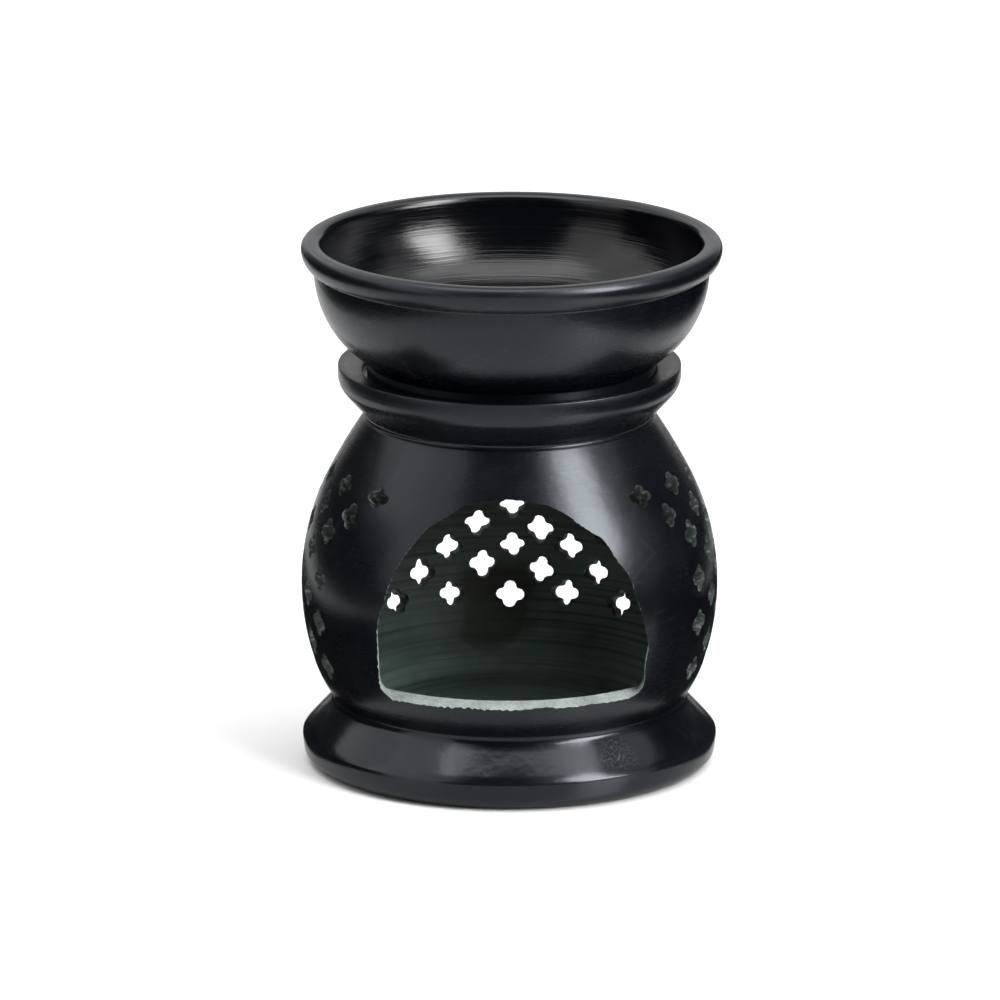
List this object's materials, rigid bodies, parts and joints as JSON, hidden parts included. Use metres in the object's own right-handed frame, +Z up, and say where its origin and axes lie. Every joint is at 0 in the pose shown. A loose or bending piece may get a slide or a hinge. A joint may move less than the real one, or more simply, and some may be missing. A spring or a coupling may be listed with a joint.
{
  "type": "essential oil burner",
  "caption": "Turned stone oil burner: a hollow belly with an arched candle door and a pierced quatrefoil lattice, under a loose lift-off oil bowl.",
  "frame": {"origin": "centre of the flat base, on the turning axis", "axes": "+Z up along the turning axis, the arched door faces -Y, +X is to the right seen from the door"},
  "size_m": [0.0786, 0.0786, 0.1],
  "materials": {
    "body_stone": "turned soapstone, dyed black and waxed to a polish outside, honed dark green-grey inside, raw grey-green where it is cut",
    "bowl_stone": "turned soapstone, dyed black and waxed to a polish, with fine turning rings inside the dish"
  },
  "bodies": {
    "body": {"burner_body": "body_stone"},
    "bowl": {"oil_bowl": "bowl_stone"}
  },
  "joints": [
    {"name": "bowl_lift", "type": "slide", "parent": "body", "child": "bowl", "axis": [0, 0, 1], "range_m": [0, 0.03]}
  ]
}
